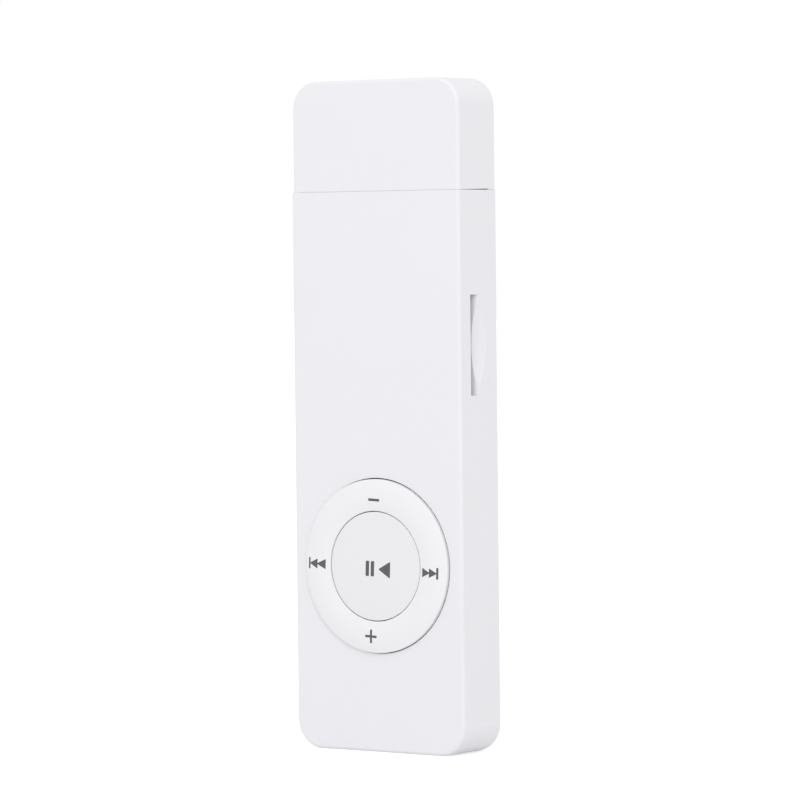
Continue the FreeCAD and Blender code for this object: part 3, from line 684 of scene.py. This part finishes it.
def scoop_tool(sizes):
    """Shallow cylinder that sinks from the side towards the back edge of the slot."""
    depth, reach = sizes.scoop_depth, sizes.scoop_reach
    floor = Vector((depth, reach, 0)).normalized()
    outward = Vector((floor.y, -floor.x, 0))
    deepest = Vector((HALF_W - depth, SLOT_BACK, SLOT_Z))
    start = deepest + outward * SCOOP_BEND - floor * reach
    tool = new_piece("scoop_tool", drum(SCOOP_BEND, start, start + floor * 3 * reach, steps=420))
    half = sizes.scoop_length / 2
    room = block((HALF_W - 2 * PAST, SLOT_BACK - NEAR, SLOT_Z - half),
                 (HALF_W + PAST, HALF_T, SLOT_Z + half))
    combine(tool, room, "INTERSECT")
    shape = bmesh.new()
    shape.from_mesh(tool.data)
    discard(tool)
    return shape


def slot_flare(sizes):
    """What the round rear edge of the card slot takes away from the side."""
    width, depth = sizes.flare_width, sizes.flare_depth
    beyond = 0.3 * MM
    steps = 8
    outline = [(HALF_W - depth, SLOT_BACK - beyond), (HALF_W + beyond, SLOT_BACK - beyond),
               (HALF_W + beyond, SLOT_BACK + width)]
    for index in range(steps + 1):
        angle = math.pi / 2 * index / steps
        outline.append((HALF_W - depth + depth * math.cos(angle),
                        SLOT_BACK + width - width * math.sin(angle)))
    half = sizes.slot_length / 2
    shape = bmesh.new()
    shape.faces.new([shape.verts.new((x, y, SLOT_Z - half)) for x, y in outline])
    thicken(shape, (0, 0, 2 * half))
    return shape


def front_case(sizes, material):
    """Deep tray: front, sides and bottom in one moulding."""
    inner_half = HALF_W - sizes.side_wall
    inner_front = FRONT_Y + sizes.front_wall
    inner_back = COVER_HIGH.y - BACK_WALL
    ledge = COLLAR_LOW.z
    piece = new_piece("case_tray", slab(HALF_W, 0, SHOULDER_Z, FRONT_Y, HALF_T,
                                        low_r=sizes.corner_radius, edge_r=sizes.edge_radius))
    cut(piece, slab(inner_half, sizes.side_wall, ledge, inner_front, inner_back,
                    low_r=sizes.corner_radius - sizes.side_wall))
    cut(piece, slab(HALF_W - sizes.lip, sizes.lip, COVER_HIGH.z + COVER_GAP, inner_back - HAIR,
                    HALF_T + PAST, low_r=sizes.corner_radius - sizes.lip))
    cut(piece, pillar(HALF_W - sizes.lip, HALF_T - sizes.lip, ledge - HAIR, SHOULDER_Z + PAST, NECK_R))
    cut(piece, drum(sizes.pad_hole, (0, FRONT_Y - PAST, PAD_Z), (0, inner_front + PAST / 2, PAD_Z),
                    steps=192))
    half = sizes.slot_length / 2
    cut(piece, block((inner_half - PAST / 2, SLOT_FRONT, SLOT_Z - half),
                     (HALF_W + PAST, SLOT_BACK, SLOT_Z + half)))
    cut(piece, slot_flare(sizes))
    cut(piece, scoop_tool(sizes))
    cut(piece, drum(JACK_HOLE_R, (JACK_X, 0, -PAST), (JACK_X, 0, sizes.side_wall + PAST), steps=64))
    for x, z in SCREW_PLACES:
        join(piece, drum(SCREW_POST_R, (x, inner_front - OVERLAP, z), (x, 0, z), steps=32))
    for x, z in SCREW_PLACES:
        cut(piece, drum(SCREW_HOLE_R, (x, SCREW_HOLE_FRONT, z), (x, PAST, z), steps=24))
    for z in HOOK_HEIGHTS:
        for side in (-1, 1):
            cut(piece, side_block(side, inner_half - HOOK_OUTER, inner_half + POCKET_DEEP,
                                  HOOK_FRONT - POCKET_ROOM, BARB_BACK + POCKET_ROOM,
                                  z - HOOK_HALF - POCKET_ROOM, z + HOOK_HALF + POCKET_ROOM))
    soften(piece, sizes.crisp_radius)
    settle(piece, "player", "case_plastic", material, "front_case")
    return piece


class PLAYER_OT_case(Operator):
    """Build the case tray, the back cover and the plug collar"""
    bl_idname = "player.case"
    bl_label = "Case"

    def execute(self, context):
        sizes = context.scene.player_case
        colours = context.scene.player_finishes
        front_case(sizes, plastic("case_plastic", colours.case, 0.42))
        self.cover(sizes, plastic("cover_plastic", colours.cover, 0.42))
        self.collar(sizes, plastic("collar_plastic", COLLAR_COLOUR, 0.45))
        return {"FINISHED"}

    def cover(self, sizes, material):
        inner_back = COVER_HIGH.y - BACK_WALL
        inner_half = HALF_W - sizes.side_wall
        piece = new_piece("back_plate", slab(COVER_HIGH.x, COVER_LOW.z, COVER_HIGH.z, inner_back,
                                             COVER_HIGH.y, low_r=sizes.corner_radius - COVER_LOW.z))
        for z in HOOK_HEIGHTS:
            for side in (-1, 1):
                for outer, back in ((inner_half - HOOK_OUTER, inner_back + OVERLAP),
                                    (inner_half + BARB_OUT, BARB_BACK)):
                    join(piece, side_block(side, inner_half - HOOK_INNER, outer, HOOK_FRONT, back,
                                           z - HOOK_HALF, z + HOOK_HALF))
        soften(piece, sizes.cover_round, segments=3)
        settle(piece, "player", "cover_plastic", material, "back_cover")

    def collar(self, sizes, material):
        piece = new_piece("neck_collar", pillar(COLLAR_HIGH.x, COLLAR_HIGH.y, COLLAR_LOW.z,
                                                COLLAR_HIGH.z, NECK_R))
        cut(piece, pillar(PLUG_HALF_W + PLUG_GAP, PLUG_HALF_T + PLUG_GAP, COLLAR_LOW.z - PAST,
                          COLLAR_HIGH.z + PAST, PLUG_R))
        soften(piece, sizes.collar_round)
        settle(piece, "player", "collar_plastic", material, "plug_collar")


class PLAYER_OT_cap(Operator):
    """Build the pull-off cap"""
    bl_idname = "player.cap"
    bl_label = "Cap"

    def execute(self, context):
        sizes = context.scene.player_cap
        case = context.scene.player_case
        material = plastic("cap_plastic", context.scene.player_finishes.cap, 0.42)
        half_w, half_t = CAP_HIGH.x, CAP_HIGH.y
        mouth_z, top_z = CAP_LOW.z, CAP_HIGH.z
        radius = case.corner_radius - (HALF_W - half_w)
        shell = slab(half_w, mouth_z, top_z, -half_t, half_t, high_r=radius, edge_r=case.edge_radius)
        for depth in (sizes.gap_end, sizes.gap_end + sizes.gap_fade):
            slice_through(shell, (0, depth, 0), (0, 1, 0))
        for vert in shell.verts:
            if abs(vert.co.z - mouth_z) < NEAR:
                share = (vert.co.y + half_t) / (2 * half_t)
                open_gap = sizes.front_gap * (1 - share) + sizes.back_gap * share
                closed = vert.co.y > sizes.gap_end + NEAR
                vert.co.z = SHOULDER_Z + (sizes.front_gap if closed else open_gap)
        bmesh.ops.translate(shell, vec=(sizes.play, 0, 0), verts=shell.verts)
        piece = new_piece("cap_shell", shell)
        wall = sizes.wall
        cut(piece, slab(half_w - wall, mouth_z - PAST, top_z - wall, wall - half_t, half_t - wall,
                        high_r=radius - wall))
        cut(piece, pillar(half_w - sizes.lip, half_t - sizes.lip, mouth_z - PAST - OVERLAP / 2,
                          mouth_z + sizes.step, NECK_R))
        rib_in = PLUG_HALF_T + 2 * PLUG_GAP
        rib_out = half_t - wall + OVERLAP
        for x in (-RIB_X, RIB_X):
            for side in (-1, 1):
                near, far = sorted((side * rib_in, side * rib_out))
                join(piece, block((x - sizes.rib_width / 2, near, mouth_z + RIB_START),
                                  (x + sizes.rib_width / 2, far, top_z - wall / 2)))
        soften(piece, sizes.mouth_round)
        settle(piece, "cap", "cap_plastic", material, "cap")
        return {"FINISHED"}


# Control pad

def turned(outline, rounds, steps):
    """Solid of revolution about the pad's axis.

    outline holds (radius, depth) corners; rounds maps some of its corners to their radii.
    """
    shape = bmesh.new()
    corners = [shape.verts.new((radius, depth, PAD_Z)) for radius, depth in outline]
    shape.faces.new(corners)
    for index, radius in rounds.items():
        round_off(shape, [corners[index]], radius, EDGE_STEPS, affect="VERTICES")
    bmesh.ops.delete(shape, geom=list(shape.faces), context="FACES_ONLY")
    bmesh.ops.spin(shape, geom=list(shape.verts) + list(shape.edges), cent=(0, 0, PAD_Z),
                   axis=(0, 1, 0), angle=2 * math.pi, steps=steps, use_merge=True)
    bmesh.ops.remove_doubles(shape, verts=shape.verts, dist=DOUBLES)
    bmesh.ops.recalc_face_normals(shape, faces=shape.faces)
    return shape


def tab(measures, skirt, angle):
    """Stop on a skirt, turned about the pad's axis."""
    half, thick, start, end = measures
    shape = block((-half, skirt - thick, start), (half, skirt, end))
    place = Matrix.Translation((0, 0, PAD_Z)) @ Matrix.Rotation(angle, 4, "Y")
    bmesh.ops.transform(shape, matrix=place, verts=shape.verts)
    return shape


def arc_through(first, middle, last):
    """Centre and radius of the circle through three points in a plane."""
    (ax, ay), (bx, by), (cx, cy) = first, middle, last
    area = 2 * (ax * (by - cy) + bx * (cy - ay) + cx * (ay - by))
    a2, b2, c2 = ax * ax + ay * ay, bx * bx + by * by, cx * cx + cy * cy
    x = (a2 * (by - cy) + b2 * (cy - ay) + c2 * (ay - by)) / area
    y = (a2 * (cx - bx) + b2 * (ax - cx) + c2 * (bx - ax)) / area
    return x, y, math.hypot(ax - x, ay - y)


def ring_depth(radius):
    """Depth of the ring's surface at a distance from the pad's axis."""
    sizes = bpy.context.scene.player_pad
    outer, inner = RING_HIGH.x, sizes.ring_inner
    x, y, bend = arc_through((outer, sizes.ring_outer_rise), ((outer + inner) / 2, sizes.ring_crown_rise),
                             (inner, sizes.ring_inner_rise))
    return FRONT_Y - (y + math.sqrt(bend * bend - (radius - x) ** 2))


def button_depth(radius):
    """Depth of the button's surface at a distance from the pad's axis."""
    sizes = bpy.context.scene.player_pad
    edge = BUTTON_HIGH.x
    rise = sizes.button_crown_rise - sizes.button_rim_rise
    bend = (edge * edge + rise * rise) / (2 * rise)
    return FRONT_Y - sizes.button_crown_rise + bend - math.sqrt(bend * bend - radius * radius)


class PLAYER_OT_ring(Operator):
    """Build the four-way control ring"""
    bl_idname = "player.ring"
    bl_label = "Control ring"

    def execute(self, context):
        sizes = context.scene.player_pad
        material = plastic("ring_plastic", context.scene.player_finishes.pad, 0.36)
        outer, inner = RING_HIGH.x, sizes.ring_inner
        count = 24
        dome = []
        for index in range(count + 1):
            radius = outer + (inner - outer) * index / count
            dome.append((radius, ring_depth(radius)))
        foot = [(inner, RING_LIP), (FOOT_INNER_R, RING_LIP), (FOOT_INNER_R, RING_UNDER),
                (FOOT_OUTER_R, RING_UNDER), (FOOT_OUTER_R, RING_SKIRT), (outer, RING_SKIRT)]
        rounds = {0: sizes.ring_round, count: sizes.ring_round}
        piece = new_piece("pad_ring", turned(dome + foot, rounds, sizes.steps))
        for quarter in range(4):
            angle = math.radians(90 * quarter)
            x, z = POST_REACH * math.sin(angle), PAD_Z + POST_REACH * math.cos(angle)
            join(piece, drum(RING_POST_R, (x, RING_UNDER - OVERLAP, z), (x, POST_END, z), steps=32))
            join(piece, tab(RING_TAB, RING_SKIRT, angle + math.radians(45)))
        for side in (-1, 1):
            near, far = sorted((side * (inner + ARM_GAP), side * ARM_END))
            for front, back, half in ((ARM_FRONT, ARM_BACK, ARM_HALF), (PIVOT_FRONT, PIVOT_Y, PIVOT_R)):
                join(piece, block((near, front, PAD_Z - half), (far, back, PAD_Z + half)))
            join(piece, drum(PIVOT_R, (near, PIVOT_Y, PAD_Z), (far, PIVOT_Y, PAD_Z), steps=24))
        nudge(piece, sizes.ring_left, sizes.ring_sag)
        soften(piece, 0.0)
        settle(piece, "control_ring", "ring_plastic", material, "control_ring")
        return {"FINISHED"}


class PLAYER_OT_button(Operator):
    """Build the centre button"""
    bl_idname = "player.button"
    bl_label = "Centre button"

    def execute(self, context):
        sizes = context.scene.player_pad
        material = plastic("button_plastic", context.scene.player_finishes.button, 0.38)
        outer = BUTTON_HIGH.x
        count = 16
        face = []
        for index in range(count + 1):
            radius = outer * (1 - index / count)
            face.append((radius, button_depth(radius)))
        foot = [(0.0, BUTTON_UNDER), (BUTTON_FOOT_R, BUTTON_UNDER), (BUTTON_FOOT_R, BUTTON_SKIRT),
                (outer, BUTTON_SKIRT)]
        piece = new_piece("pad_button", turned(face + foot, {0: sizes.button_round}, sizes.steps))
        join(piece, drum(BUTTON_POST_R, (0, BUTTON_UNDER - OVERLAP, PAD_Z), (0, POST_END, PAD_Z), steps=32))
        for quarter in range(4):
            join(piece, tab(BUTTON_TAB, BUTTON_SKIRT, math.radians(45 + 90 * quarter)))
        nudge(piece, sizes.button_left, sizes.button_sag)
        soften(piece, 0.0)
        settle(piece, "play_button", "button_plastic", material, "play_button")
        return {"FINISHED"}


# Printed symbols

def flat_face(points, rounding):
    """Flat face in the XZ plane from its corners, with rounded corners."""
    shape = bmesh.new()
    corners = [shape.verts.new((x * MM, 0, z * MM)) for x, z in points]
    shape.faces.new(corners)
    round_off(shape, corners, rounding * MM, 4, affect="VERTICES", clamp=True)
    return shape


def bar(x, z, width, height, rounding=0.04):
    """Upright or level stroke."""
    half_w, half_h = width / 2, height / 2
    return flat_face([(x - half_w, z - half_h), (x + half_w, z - half_h),
                      (x + half_w, z + half_h), (x - half_w, z + half_h)], rounding)


def arrow(tip_x, base_x, z, height, rounding=0.06):
    """Triangle that points along X."""
    half = height / 2
    return flat_face([(tip_x, z), (base_x, z - half), (base_x, z + half)], rounding)


def lay_print(name, shapes, centre, turn_by, depth_at, thickness):
    """Join flat shapes, place them on the pad and bend them onto its surface."""
    whole = bmesh.new()
    for shape in shapes:
        mesh = bpy.data.meshes.new("shape")
        shape.to_mesh(mesh)
        shape.free()
        whole.from_mesh(mesh)
        bpy.data.meshes.remove(mesh)
    place = Matrix.Translation(centre) @ Matrix.Rotation(-turn_by, 4, "Y")
    bmesh.ops.transform(whole, matrix=place, verts=whole.verts)
    xs = [vert.co.x for vert in whole.verts]
    zs = [vert.co.z for vert in whole.verts]
    for axis, values in ((0, xs), (2, zs)):
        normal = Vector((axis == 0, 0, axis == 2))
        level = math.ceil(min(values) / PRINT_PITCH) * PRINT_PITCH
        while level < max(values):
            slice_through(whole, normal * level, normal)
            level += PRINT_PITCH
    for vert in whole.verts:
        vert.co.y = depth_at(math.hypot(vert.co.x, vert.co.z - PAD_Z)) + PRINT_SUNK
    thicken(whole, (0, -(thickness + PRINT_SUNK), 0))
    return new_piece(name, whole)


class PLAYER_OT_symbols(Operator):
    """Print the symbols on the ring and the button"""
    bl_idname = "player.symbols"
    bl_label = "Printed symbols"

    def execute(self, context):
        sizes = context.scene.player_pad
        material = plastic("pad_ink", context.scene.player_finishes.ink, 0.55, grain=20000.0,
                           wear=0.0, dust=0.05, variation=0.8)
        centre = Vector((SYMBOL_SHIFT[0] * MM, 0, PAD_Z + SYMBOL_SHIFT[1] * MM))
        shapes = {
            "print_minus": [bar(0, SYMBOL_REACH, *MINUS)],
            "print_plus": [bar(0, -SYMBOL_REACH, *PLUS_LEVEL), bar(0, -SYMBOL_REACH, *PLUS_UPRIGHT)],
            "print_back": self.skip(BACK_AT, -1, *BACK_ARROW),
            "print_forward": self.skip(FORWARD_AT, 1, *FORWARD_ARROW),
        }
        for name, parts in shapes.items():
            piece = lay_print(name, parts, centre, sizes.print_turn, ring_depth, sizes.print_thickness)
            settle(piece, "control_ring", None, material)
        parts = [bar(x, PLAY_LEVEL, width, height, PAUSE_ROUND) for x, width, height in PAUSE_BARS]
        parts.append(arrow(PLAY_TIP, PLAY_BASE, PLAY_LEVEL, PLAY_HEIGHT, PLAY_ROUND))
        piece = lay_print("print_play", parts, centre, sizes.print_turn, button_depth,
                          sizes.print_thickness)
        settle(piece, "play_button", None, material)
        return {"FINISHED"}

    def skip(self, x, way, width, height):
        """Two arrows and a bar, pointing along X."""
        return [arrow(x + way * SKIP_TIP, x - way * width, 0, height),
                arrow(x + way * width, x - way * SKIP_BASE, 0, height),
                bar(x + way * (width + SKIP_END), 0, *SKIP_BAR)]


# CAD nodes that keep their shape

STEEL = (0.62, 0.62, 0.63)
BLACK = (0.018, 0.018, 0.020)
# Colour and roughness
METALS = {
    "plug_steel": (STEEL, 0.28),
    "contact_gold": ((0.83, 0.62, 0.27), 0.25),
    "contact_tin": ((0.60, 0.59, 0.57), 0.38),
    "spring_steel": ((0.55, 0.55, 0.56), 0.3),
    "switch_steel": ((0.58, 0.58, 0.58), 0.34),
    "screw_steel": ((0.45, 0.45, 0.46), 0.32),
    "crystal_can": ((0.66, 0.65, 0.62), 0.25),
    "socket_steel": (STEEL, 0.3),
}
PLASTICS = {
    "tongue_plastic": ((0.75, 0.75, 0.76), 0.5),
    "seat_plastic": ((0.10, 0.10, 0.11), 0.5),
    "stem_plastic": (BLACK, 0.5),
    "board_laminate": ((0.02, 0.16, 0.07), 0.35),
    "chip_epoxy": (BLACK, 0.55),
    "ferrite": ((0.06, 0.06, 0.065), 0.6),
    "capacitor_ceramic": ((0.38, 0.26, 0.16), 0.4),
    "resistor_ceramic": ((0.03, 0.03, 0.03), 0.35),
    "socket_plastic": ((0.62, 0.62, 0.60), 0.5),
    "jack_plastic": ((0.76, 0.76, 0.77), 0.4),
    "tape_foam": ((0.7, 0.68, 0.6), 0.8),
    "lead_red": ((0.45, 0.02, 0.02), 0.4),
    "lead_black": (BLACK, 0.4),
}


class PLAYER_OT_inside(Operator):
    """Give the plug, the electronics and the battery their finishes"""
    bl_idname = "player.inside"
    bl_label = "Inside"

    def execute(self, context):
        finishes = {name: metal(name, *values) for name, values in METALS.items()}
        finishes["cell_foil"] = metal("cell_foil", (0.70, 0.70, 0.71), 0.4, across=2500.0, along=2500.0)
        for name, values in PLASTICS.items():
            finishes[name] = plastic(name, *values)
        sizes = context.scene.player_inside
        wider = {"plug_shell": sizes.plug_round, "plug_tongue": sizes.plug_round,
                 "headphone_jack_body": sizes.jack_round}
        for key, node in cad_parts.items():
            if node.hide_render:
                continue
            ease(node, wider.get(key, sizes.small_round))
            for place in node.material_slots:
                name = place.material.name.split(".")[0]
                place.material = finishes[name]
        return {"FINISHED"}


# Studio

class PLAYER_OT_studio(Operator):
    """Add the floor, the soft lights and the camera"""
    bl_idname = "player.studio"
    bl_label = "Studio"

    def execute(self, context):
        studio = context.scene.player_studio
        context.scene.view_settings.view_transform = "Standard"
        context.scene.cycles.diffuse_bounces = 8
        self.room(context.scene, studio)
        self.floor(studio)
        self.panel("top_panel", *TOP_PANEL, studio.top_light)
        self.panel("front_panel", *FRONT_PANEL, studio.front_light)
        self.camera(context.scene, studio)
        return {"FINISHED"}

    def room(self, scene, studio):
        world = bpy.data.worlds.new("room")
        world.use_nodes = True
        tree = world.node_tree
        tree.nodes.clear()
        seen = put(tree, "ShaderNodeBackground", Color=(1, 1, 1, 1), Strength=1.0)
        lit = put(tree, "ShaderNodeBackground", Color=(1, 1, 1, 1), Strength=studio.room_light)
        path = put(tree, "ShaderNodeLightPath")
        mix = put(tree, "ShaderNodeMixShader")
        output = put(tree, "ShaderNodeOutputWorld")
        wire(tree, path.outputs["Is Camera Ray"], mix.inputs["Fac"])
        wire(tree, lit.outputs["Background"], mix.inputs[1])
        wire(tree, seen.outputs["Background"], mix.inputs[2])
        wire(tree, mix.outputs["Shader"], output.inputs["Surface"])
        scene.world = world

    def floor(self, studio):
        shape = bmesh.new()
        bmesh.ops.create_grid(shape, x_segments=1, y_segments=1, size=FLOOR_SIZE)
        piece = new_piece("floor", shape)
        material, tree, shader = start_material("floor_paper")
        shader.inputs["Base Color"].default_value = (*(3 * [studio.floor_white]), 1)
        shader.inputs["Roughness"].default_value = 1.0
        shader.inputs["Specular IOR Level"].default_value = 0.0
        shader.inputs["Emission Color"].default_value = (1, 1, 1, 1)
        path = put(tree, "ShaderNodeLightPath")
        glow = put(tree, "ShaderNodeMath", operation="MULTIPLY_ADD")
        wire(tree, path.outputs["Is Camera Ray"], glow.inputs[0])
        glow.inputs[1].default_value = studio.floor_glow
        glow.inputs[2].default_value = studio.floor_light
        wire(tree, glow.outputs["Value"], shader.inputs["Emission Strength"])
        piece.data.materials.append(material)

    def panel(self, name, place, size, power):
        """Rectangular light that faces the middle of the player."""
        light = bpy.data.lights.new(name, "AREA")
        light.shape = "RECTANGLE"
        light.size, light.size_y = size
        light.energy = power
        lamp = bpy.data.objects.new(name, light)
        lamp.location = place
        aim = Vector(LIGHT_AIM) - lamp.location
        lamp.rotation_mode = "QUATERNION"
        lamp.rotation_quaternion = aim.to_track_quat("-Z", "Y")
        bpy.context.scene.collection.objects.link(lamp)

    def camera(self, scene, studio):
        a, e, r = studio.azimuth, studio.elevation, studio.roll
        back = Vector((math.sin(a) * math.cos(e), -math.cos(a) * math.cos(e), math.sin(e)))
        level = Vector((math.cos(a), math.sin(a), 0))
        above = back.cross(level)
        right = math.cos(r) * level + math.sin(r) * above
        up = math.cos(r) * above - math.sin(r) * level
        middle = (cad_box[0] + cad_box[1]) / 2
        target = Vector((0, 0, middle.z)) + right * studio.aim_right + up * studio.aim_up
        data = bpy.data.cameras.new("camera")
        data.sensor_width = 36.0
        data.lens = studio.lens
        data.clip_start = 0.01
        data.clip_end = 20.0
        camera = bpy.data.objects.new("camera", data)
        turned_by = Matrix((right, up, back)).transposed()
        camera.matrix_world = Matrix.Translation(target + back * studio.distance) @ turned_by.to_4x4()
        scene.collection.objects.link(camera)
        scene.camera = camera


class PLAYER_PT_build(Panel):
    bl_idname = "PLAYER_PT_build"
    bl_label = "Strip Audio Player"
    bl_space_type = "VIEW_3D"
    bl_region_type = "UI"
    bl_category = "Player"

    def draw(self, context):
        layout = self.layout
        for pointer in POINTERS:
            group = getattr(context.scene, pointer)
            area = layout.box()
            area.label(text=type(group).__name__)
            for key in group.__annotations__:
                area.prop(group, key)
        for operator in OPERATORS:
            layout.operator(operator.bl_idname)


POINTERS = {
    "player_case": CaseSizes,
    "player_cap": CapSizes,
    "player_pad": PadSizes,
    "player_inside": InsideSizes,
    "player_finishes": Finishes,
    "player_studio": Studio,
}
OPERATORS = (PLAYER_OT_case, PLAYER_OT_cap, PLAYER_OT_ring, PLAYER_OT_button, PLAYER_OT_symbols,
             PLAYER_OT_inside, PLAYER_OT_studio)


def register():
    for kind in (*POINTERS.values(), *OPERATORS, PLAYER_PT_build):
        bpy.utils.register_class(kind)
    for name, kind in POINTERS.items():
        setattr(bpy.types.Scene, name, PointerProperty(type=kind))


def unregister():
    for name in POINTERS:
        delattr(bpy.types.Scene, name)
    for kind in (PLAYER_PT_build, *reversed(OPERATORS), *reversed(tuple(POINTERS.values()))):
        bpy.utils.unregister_class(kind)


def main():
    register()
    bpy.ops.player.case()
    bpy.ops.player.cap()
    bpy.ops.player.ring()
    bpy.ops.player.button()
    bpy.ops.player.symbols()
    bpy.ops.player.inside()
    bpy.ops.player.studio()


if __name__ == "__main__":
    main()
